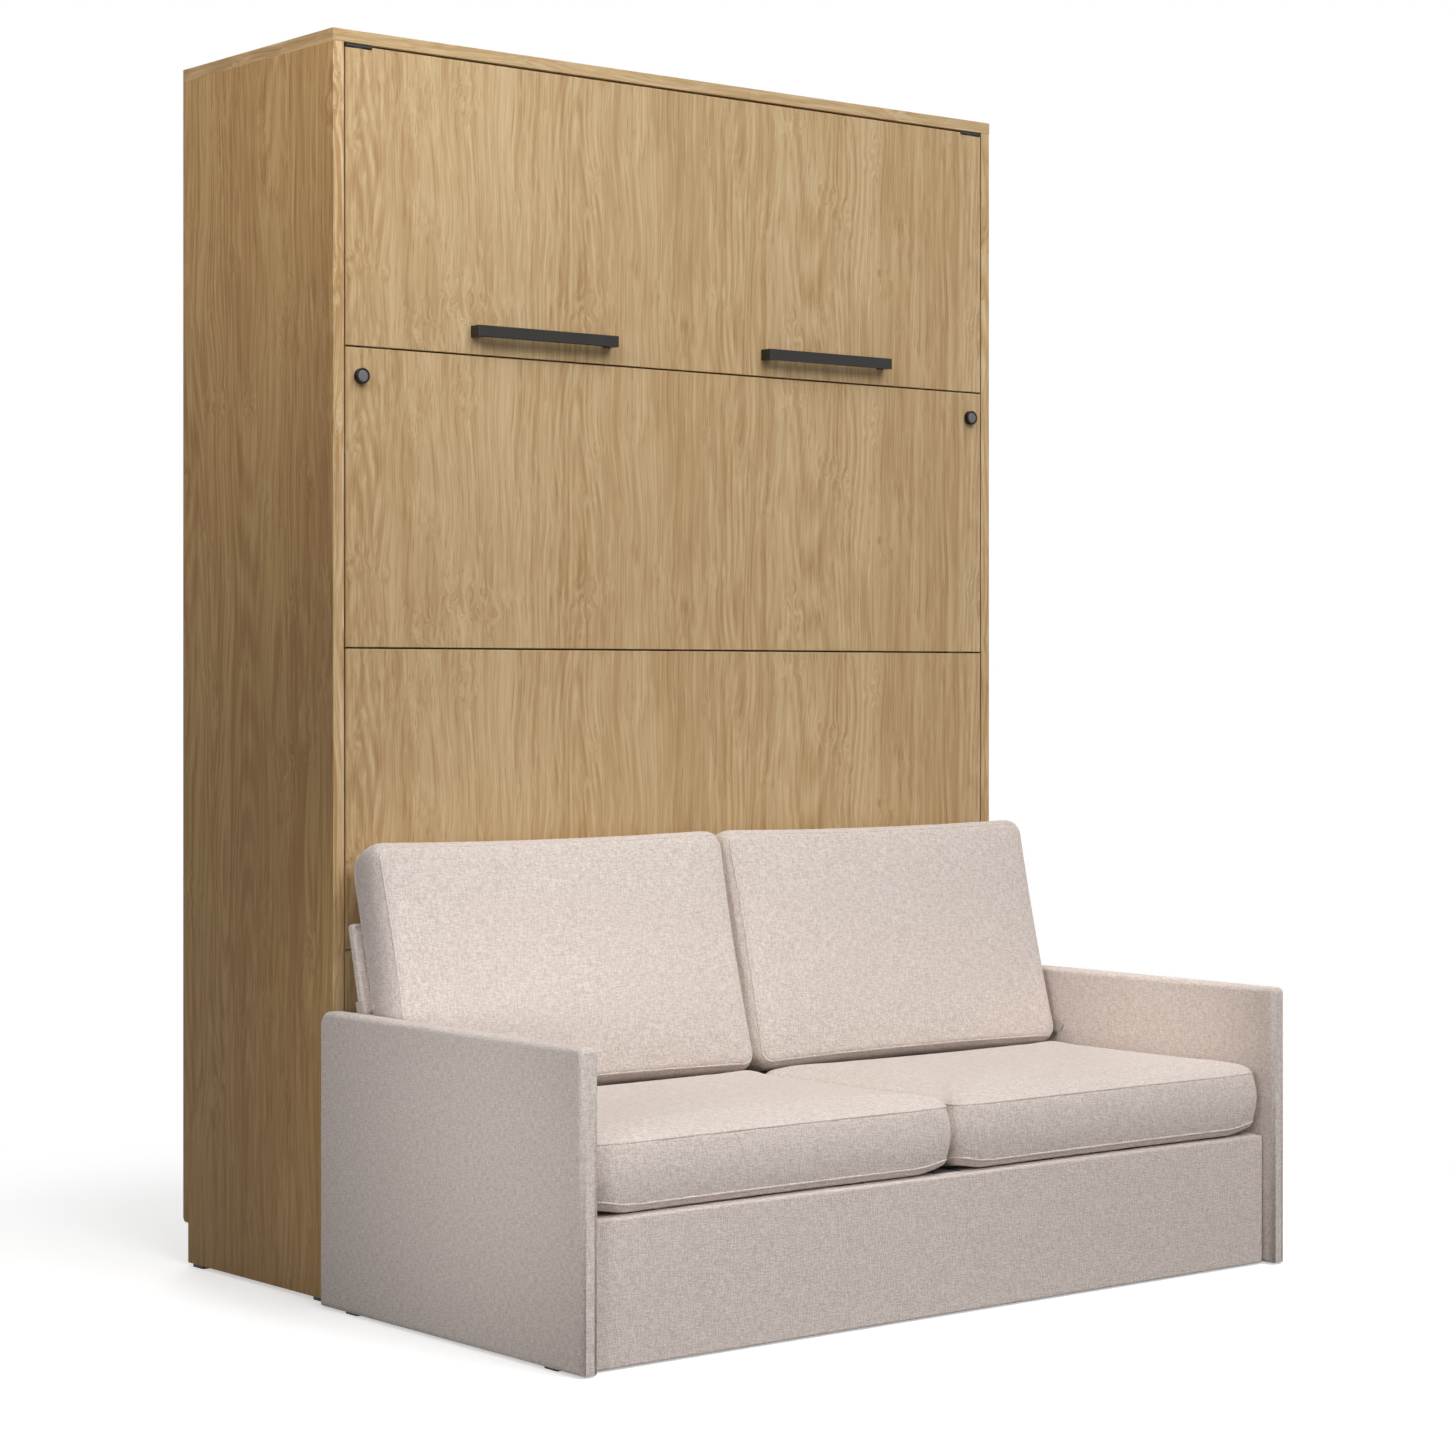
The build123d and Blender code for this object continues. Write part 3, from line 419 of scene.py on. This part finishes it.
def plain_wood(name, along, light, dark, pitch):
    material, where = open_material(name)
    pull = tuple(1 if axis == along else pitch for axis in "XYZ")
    sway = where.noise((4, 4, 4), detail=1, output=1).vector("SUBTRACT", (0.5, 0.5, 0.5))
    fibre = where.vector("ADD", sway.stretched((0.01, 0.01, 0.01)))
    grain = fibre.noise(tuple(part * 2 for part in pull), detail=4, roughness=0.6)
    base = grain.between(0.3, 0.7).mixed(colour(*dark), colour(*light))
    close_material(where, base, 0.5 + grain * 0.15, grain, 0.0002)
    return material


def moulded(name, shade, roughness, grain):
    material, where = open_material(name)
    pebbles = where.noise((grain, grain, grain), detail=2)
    base = pebbles.mixed(colour(*shade), colour(*(part + 14 for part in shade)))
    close_material(where, base, roughness + pebbles * 0.1, pebbles, 0.0001)
    return material


paint(pale_board("pale_board"), "bed_centre_beam", "bed_foot_rail", "bed_head_rail", "bed_rail_left",
      "bed_rail_right", "slat_ledgers")
paint(plain_wood("beech_slat", "X", (226, 192, 142), (205, 165, 112), 60), "slats")
paint(plain_wood("softwood_x", "X", (222, 190, 140), (196, 156, 104), 30), "seat_rails")
paint(plain_wood("softwood_y", "Y", (222, 190, 140), (196, 156, 104), 30),
      "seat_battens", "seat_centre_rail")
paint(moulded("slat_cap", (30, 30, 31), 0.5, 900), "slat_holders")
paint(moulded("glide", (18, 18, 18), 0.45, 700), "cabinet_feet", "leg_glides", "sofa_feet")
paint(moulded("rubber_stop", (24, 24, 24), 0.75, 500), "bed_stops")


# Sofa cover: a warm grey melange weave of thick and thin yarns, the same on every piece.
# On the back it is laid at the backrest's tilt, so that its yarns follow the cushions.
def sofa_weave(name, tilt=0.0, light=(237, 226, 219), dark=(201, 186, 177)):
    material, where = open_material(name)
    where = where.node("ShaderNodeMapping", {}, {"Vector": where, "Rotation": (tilt, 0, 0)})
    along_x = where.noise((85, 480, 480), detail=1)
    along_y = where.noise((480, 85, 480), detail=1)
    along_z = where.noise((480, 480, 85), detail=1)
    slub = where.noise((60, 60, 60), detail=2)
    yarns = along_x.between(0.4, 0.6) + along_y.between(0.4, 0.6) + along_z.between(0.4, 0.6)
    cells = where.node("ShaderNodeTexVoronoi", {"feature": "F1"}, {"Vector": where, "Scale": 620.0})
    tone = yarns * 0.36 + slub * 0.12 - 0.1
    base = tone.mixed(colour(*dark), colour(*light))
    close_material(where, base, 0.88, yarns * 0.35 - cells * 0.5, 0.0006,
                   Sheen_Weight=0.2, Sheen_Roughness=0.5)
    return material


back_tilt = math.radians(14)
sofa_fabric = sofa_weave("sofa_weave")
back_fabric = sofa_weave("sofa_weave_back", back_tilt)


# Sofa arms: boards wrapped in wadding and cover, closed down to the floor, with a
# rounded rear top corner. The cover is drawn over the edges without piping.
def box_shape(low, high):
    """A closed block between two corners."""
    low, high = Vector(low), Vector(high)
    shape = bmesh.new()
    bmesh.ops.create_cube(shape, size=1)
    bmesh.ops.scale(shape, vec=high - low, verts=shape.verts)
    bmesh.ops.translate(shape, vec=(low + high) / 2, verts=shape.verts)
    return shape


def edges_along(shape, axis):
    """The straight edges that run along one axis."""
    others = [other for other in range(3) if other != axis]
    return [edge for edge in shape.edges
            if all(abs(edge.verts[0].co[i] - edge.verts[1].co[i]) < 1e-6 for i in others)]


def rounded(shape, edges, radius, segments):
    bmesh.ops.bevel(shape, geom=edges, offset=radius, affect="EDGES", segments=segments,
                    profile=0.5, material=-1)


arm_rear_round = 0.026
arm_front_round = 0.010
arm_edge_round = 0.0095
for side in ("left", "right"):
    low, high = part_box("arm_" + side)
    shape = box_shape(low, high)
    for way, radius, segments in ((1, arm_rear_round, 6), (-1, arm_front_round, 4)):
        corners = [edge for edge in edges_along(shape, 0) if edge.verts[0].co.z > high.z - 0.001]
        rounded(shape, [edge for edge in corners if edge.verts[0].co.y * way > 0], radius, segments)
    across = edges_along(shape, 0)
    rounded(shape, [edge for edge in shape.edges if edge not in across], arm_edge_round, 5)
    piece = show("arm_cover_" + side, shape, sofa_fabric, "root", ["arm_" + side])

# Apron: a board in the same cover, which closes the front between the arms and is
# screwed to the front seat rail from behind. Thin gaps part it from the arms.
apron_gap = 0.003
apron_edge_round = 0.004
low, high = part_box("sofa_apron")
shape = box_shape((low.x + apron_gap, low.y, low.z), (high.x - apron_gap, high.y, high.z))
rounded(shape, [edge for axis in (0, 2) for edge in edges_along(shape, axis)], apron_edge_round, 3)
piece = show("apron_cover", shape, sofa_fabric, "root", ["sofa_apron"])

# The apron's cover runs on over the front seat rail, where it is stapled down behind.
fold_depth = 0.052
cloth_thick = 0.0014
rail_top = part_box("seat_rails")[1].z
fold_low = (low.x + 0.0005, high.y - 0.004, rail_top - 0.0004)
shape = box_shape(fold_low, (high.x - 0.0005, high.y + fold_depth, rail_top + cloth_thick))
rounded(shape, edges_along(shape, 0), 0.0006, 2)
show("apron_fold", shape, sofa_fabric, "root", [])


# Loose cushions: foam and wadding in a boxed cover, drawn in at the sides. Each face is
# sewn to the border with a thin welt, and the cover puckers at the welts and corners.
def bake_modifiers(piece):
    """Makes the modified shape the piece's own mesh."""
    view = bpy.context.evaluated_depsgraph_get()
    view.update()
    mesh = bpy.data.meshes.new_from_object(piece.evaluated_get(view), depsgraph=view)
    piece.modifiers.clear()
    piece.data = mesh


def rims(shape, height):
    """The edges of a block that lie at one height."""
    return [edge for edge in shape.edges if all(abs(vert.co.z - height) < 1e-5 for vert in edge.verts)]


def ease(value, low, high):
    """0 below low, 1 above high, with a smooth step between."""
    share = min(1, max(0, (value - low) / (high - low)))
    return share * share * (3 - 2 * share)


class Cushion:
    """One boxed cushion in its own frame: X across, Y deep or up, Z out of its crowned face."""

    bow = 0.005
    border_bulge = 0.006
    corner_lift = 0.011
    roll = 0.019
    under_roll = 0.012

    def __init__(self, width, depth, height, crown, corner, low_welt, high_welt):
        self.width, self.depth, self.height, self.crown = width, depth, height, crown
        self.corner = corner
        self.welts = (low_welt, high_welt)

    def foam(self):
        """A block with rounded corners and edges. settled() swells its border and draws in its sides."""
        shape = bmesh.new()
        bmesh.ops.create_cube(shape, size=1)
        bmesh.ops.scale(shape, vec=(self.width, self.depth, self.height), verts=shape.verts)
        bmesh.ops.translate(shape, vec=(0, 0, self.height / 2), verts=shape.verts)
        rounded(shape, edges_along(shape, 2), self.corner, 6)
        rounded(shape, rims(shape, self.height), self.roll, 5)
        rounded(shape, rims(shape, 0), self.under_roll, 4)
        return shape

    def settled(self, spot):
        """Where a point of the plain block comes to lie."""
        x, y, z = spot
        across, along = x / (self.width / 2), y / (self.depth / 2)
        low, high = self.welts
        bulge = self.border_bulge * math.sin(math.pi * min(1, max(0, (z - low) / (high - low))))
        drawn_x = self.bow * (1 - along * along) - bulge
        drawn_y = self.bow * (1 - across * across) - bulge
        x -= drawn_x * ease(abs(across), 0.8, 1) * (1 if x > 0 else -1)
        y -= drawn_y * ease(abs(along), 0.7, 1) * (1 if y > 0 else -1)
        domed = (1 - min(1, abs(across)) ** 3) * (1 - min(1, abs(along)) ** 3)
        z += self.crown * domed * ease(z, 0.7 * self.height, self.height)
        at_corner = ease(abs(across), 0.8, 1) * ease(abs(along), 0.72, 1)
        z += self.corner_lift * at_corner * max(0, 1 - z / self.height)
        return Vector((x, y, z))

    def welt_line(self, height, inset):
        """Points round the plain block at one height."""
        half_w, half_d = self.width / 2 - inset, self.depth / 2 - inset
        corner = self.corner - inset
        points = []
        for quarter in range(4):
            run, out = (half_d, half_w) if quarter % 2 == 0 else (half_w, half_d)
            turned = Matrix.Rotation(quarter * math.pi / 2, 2)
            for step in range(25):
                points.append(turned @ Vector((out, (run - corner) * (step / 12 - 1))))
            for step in range(1, 8):
                angle = step / 8 * math.pi / 2
                centre = Vector((out - corner, run - corner))
                points.append(turned @ (centre + corner * Vector((math.cos(angle), math.sin(angle)))))
        return [self.settled((x, y, height)) for x, y in points]


def swell(piece, cushion, caps):
    """Blows the cover up with the cloth solver, while its welts and underside stay put."""
    start = [vertex.co.copy() for vertex in piece.data.vertices]
    held = piece.vertex_groups.new(name="welts")
    half_w, half_d = cushion.width / 2, cushion.depth / 2
    for vertex in piece.data.vertices:
        x, y, z = vertex.co
        rim = min(half_w - abs(x), half_d - abs(y)) < 0.012 + cushion.bow
        if z < 0.004 or rim and min(abs(z - welt) for welt in cushion.welts) < 0.0035:
            held.add([vertex.index], 1.0, "REPLACE")
    cloth = piece.modifiers.new("cloth", "CLOTH")
    cloth.settings.quality = 5
    cloth.settings.mass = 0.3
    cloth.settings.tension_stiffness = 15
    cloth.settings.compression_stiffness = 15
    cloth.settings.bending_stiffness = 0.6
    cloth.settings.use_pressure = True
    cloth.settings.uniform_pressure_force = 1.6
    cloth.settings.effector_weights.gravity = 0
    cloth.settings.vertex_group_mass = "welts"
    cloth.collision_settings.use_collision = False
    for step in range(1, 21):
        bpy.context.scene.frame_set(step)
    bake_modifiers(piece)
    piece.vertex_groups.clear()
    for vertex, first in zip(piece.data.vertices, start):
        moved = vertex.co - first
        vertex.co = first + Vector([cap * math.tanh(part / cap) for part, cap in zip(moved, caps)])
    bpy.context.scene.frame_set(1)


def pucker(piece, lines, depth, creases):
    """Small gathers along the welts, and longer creases that run out of the lower corners."""
    near = KDTree(sum(len(line) for line in lines))
    for index, spot in enumerate(spot for line in lines for spot in line):
        near.insert(spot, index)
    near.balance()
    mesh = piece.data
    normals = [vertex.normal.copy() for vertex in mesh.vertices]
    for vertex, normal in zip(mesh.vertices, normals):
        spot = vertex.co
        away = near.find(spot)[2]
        gather = noise.noise(spot * 42) * 0.6 + noise.noise(spot * 95) * 0.4
        sink = depth * gather * math.exp(-away / 0.03)
        for corner, reach, tall in creases:
            out = spot - corner
            far = math.exp(-((out.length - reach) / (reach * 0.6)) ** 2)
            if far > 0.02:
                turn = math.atan2(out.y, out.x)
                fold = noise.noise(Vector((turn * 5.2, out.length * 3, corner.x * 9))) - 0.1
                sink += tall * far * fold
        vertex.co = spot + normal * sink


def make_cushion(node, cushion, place, body, fabric, caps, depth, creases):
    """Sews one cushion and its two welts, and sets them in their place."""
    mesh = bpy.data.meshes.new(node + "_cover")
    shape = cushion.foam()
    shape.to_mesh(mesh)
    shape.free()
    piece = bpy.data.objects.new(node + "_cover", mesh)
    bpy.context.collection.objects.link(piece)
    remesh = piece.modifiers.new("remesh", "REMESH")
    remesh.mode = "VOXEL"
    remesh.voxel_size = 0.0072
    bake_modifiers(piece)
    for vertex in piece.data.vertices:
        vertex.co = cushion.settled(vertex.co)
    swell(piece, cushion, caps)
    finer = piece.modifiers.new("finer", "SUBSURF")
    finer.levels = finer.render_levels = 1
    bake_modifiers(piece)
    spots = [vertex.co for vertex in piece.data.vertices]
    surface = BVHTree.FromPolygons(spots, [face.vertices for face in piece.data.polygons])
    lines = []
    for height in cushion.welts:
        line = [surface.find_nearest(spot) for spot in cushion.welt_line(height, 0)]
        lines.append([spot - normal * 0.0006 for spot, normal, face, gap in line])
    pucker(piece, lines, depth, creases)
    piece.data.transform(place)
    for face in piece.data.polygons:
        face.use_smooth = True
    piece.data.materials.clear()
    piece.data.materials.append(fabric)
    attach(piece, body)
    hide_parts(node)
    for label, line in zip(("rear", "front"), lines):
        curve = bpy.data.curves.new(node + "_welt_" + label, "CURVE")
        curve.dimensions = "3D"
        curve.bevel_depth = 0.0022
        curve.bevel_resolution = 2
        run = curve.splines.new("POLY")
        run.points.add(len(line) - 1)
        for knot, spot in zip(run.points, line):
            knot.co = (*(place @ spot), 1)
        run.use_cyclic_u = True
        curve.materials.append(fabric)
        welt = bpy.data.objects.new(curve.name, curve)
        bpy.context.collection.objects.link(welt)
        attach(welt, body)


seat_cushion = Cushion(width=0.75, depth=0.527, height=0.127, crown=0.005, corner=0.024,
                       low_welt=0.013, high_welt=0.111)
for side in ("left", "right"):
    low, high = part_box("seat_cushion_" + side)
    place = Matrix.Translation(((low.x + high.x) / 2, (low.y + high.y) / 2, low.z))
    make_cushion("seat_cushion_" + side, seat_cushion, place, "root", sofa_fabric,
                 caps=(0.003, 0.004, 0.006), depth=0.0015, creases=())

# Back cushions lean on the folding backrest board, 14 degrees back from upright, and
# turn with it. Their wadding is softer, and creases at the lower corners.
out_of_face = Vector((0, -math.cos(back_tilt), math.sin(back_tilt)))
up_face = Vector((0, math.sin(back_tilt), math.cos(back_tilt)))
back_turn = Matrix((Vector((1, 0, 0)), up_face, out_of_face)).transposed().to_4x4()
back_hinge = Vector((0, -0.088, 0.393))
board_behind_hinge = 0.0957
middle_above_hinge = 0.1945
back_cushion = Cushion(width=0.748, depth=0.434, height=0.096, crown=0.005, corner=0.03,
                       low_welt=0.012, high_welt=0.097)
for side in ("left", "right"):
    low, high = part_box("back_cushion_" + side)
    middle = back_hinge - out_of_face * board_behind_hinge + up_face * middle_above_hinge
    middle.x = (low.x + high.x) / 2
    place = Matrix.Translation(middle) @ back_turn
    creases = [(Vector((x, -0.212, 0.1)), 0.07, 0.0015) for x in (-0.371, 0.371)]
    make_cushion("back_cushion_" + side, back_cushion, place, "backrest", back_fabric,
                 caps=(0.003, 0.005, 0.0065), depth=0.002, creases=creases)


def merged_copy(node):
    shape = bmesh.new()
    shape.from_mesh(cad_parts[node].data)
    bmesh.ops.remove_doubles(shape, verts=shape.verts, dist=0.00005)
    return shape


# Folding backrest board: plywood wrapped in wadding and cover. It turns with the back
# cushions on two steel brackets, powder coated in the grey of the cloth.
shape = merged_copy("backrest_board")
piece = show("backrest_cover", shape, back_fabric, "backrest",
             ["backrest_board"], smooth=False)
paint(black_coat("grey_powder", (186, 176, 168), 0.55, 0.0),
      "backrest_bracket_left", "backrest_bracket_right")


# Mattress: foam in a knit cover that is quilted in diamonds, with a tape sewn round both
# edges of its border. It stands on end on its slats while the bed is closed.
def quilt_fabric():
    material, where = open_material("mattress_knit")
    knit = where.noise((700, 700, 700), detail=2)
    loops = where.node("ShaderNodeTexVoronoi", {"feature": "F1"}, {"Vector": where, "Scale": 480.0})
    base = knit.between(0.35, 0.65).mixed(colour(210, 210, 206), colour(226, 226, 223))
    close_material(where, base, 0.85, knit * 0.6 - loops * 0.6, 0.0006, Sheen_Weight=0.2)
    return material


def padded_block(low, high, cuts, radius):
    """A block with a close net of faces, whose edges and corners are rounded off."""
    shape = box_shape(low, high)
    for axis, count in enumerate(cuts):
        bmesh.ops.subdivide_edges(shape, edges=edges_along(shape, axis), cuts=count, use_grid_fill=True)
    for vertex in shape.verts:
        core = Vector([min(max(vertex.co[i], low[i] + radius), high[i] - radius) for i in range(3)])
        out = vertex.co - core
        vertex.co = core + out.normalized() * radius
    return shape


mattress_round = 0.022
quilt_pitch = 0.17
quilt_depth = 0.007
tape_inset = 0.019
low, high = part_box("mattress")
shape = padded_block(low, high, (110, 12, 156), mattress_round)
for vertex in shape.verts:
    x, y, z = vertex.co
    to_edge = min(x - low.x, high.x - x, z - low.z, high.z - z)
    diamond = abs(math.sin(math.pi * (x + z) / quilt_pitch) * math.sin(math.pi * (x - z) / quilt_pitch))
    sink = quilt_depth * (1 - diamond ** 0.4) * ease(to_edge, 0.01, 0.05)
    if y < low.y + 0.012:
        vertex.co.y += sink
    elif y > high.y - 0.012:
        vertex.co.y -= sink
mattress_knit = quilt_fabric()
piece = show("mattress_cover", shape, mattress_knit, "bed", ["mattress"])

# The tape round both edges
def outline_round(low, high, radius, height):
    """Points round a block's rounded outline at one height."""
    left, right, bottom, top = low.x + radius, high.x - radius, low.z + radius, high.z - radius
    points = []
    for turn, (x, z) in enumerate(((right, top), (left, top), (left, bottom), (right, bottom))):
        for step in range(9):
            angle = (turn + step / 8) * math.pi / 2
            points.append(Vector((x + radius * math.cos(angle), height, z + radius * math.sin(angle))))
    return points


tape_cloth = moulded("mattress_tape", (176, 178, 180), 0.8, 900)
for label, height in (("front", low.y + tape_inset), ("rear", high.y - tape_inset)):
    curve = bpy.data.curves.new("mattress_tape_" + label, "CURVE")
    curve.dimensions = "3D"
    curve.bevel_depth = 0.0035
    curve.bevel_resolution = 3
    line = outline_round(low, high, mattress_round, height)
    run = curve.splines.new("POLY")
    run.points.add(len(line) - 1)
    for knot, spot in zip(run.points, line):
        knot.co = (*spot, 1)
    run.use_cyclic_u = True
    curve.materials.append(tape_cloth)
    tape = bpy.data.objects.new(curve.name, curve)
    bpy.context.collection.objects.link(tape)
    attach(tape, "bed")


# Straps and webbing: woven elastic in dark grey. The straps hold the mattress on its
# frame when the bed stands up, and the webbing carries the seat cushions.
def webbing_weave():
    material, where = open_material("elastic_webbing")
    ribs = where.noise((500, 500, 500), detail=1)
    base = ribs.mixed(colour(58, 58, 61), colour(84, 84, 87))
    close_material(where, base, 0.8, ribs, 0.0004)
    return material


elastic = webbing_weave()
for node, body in (("mattress_straps", "bed"), ("seat_webbing", "root")):
    shape = merged_copy(node)
    show(node + "_woven", shape, elastic, body, [node], smooth=False)
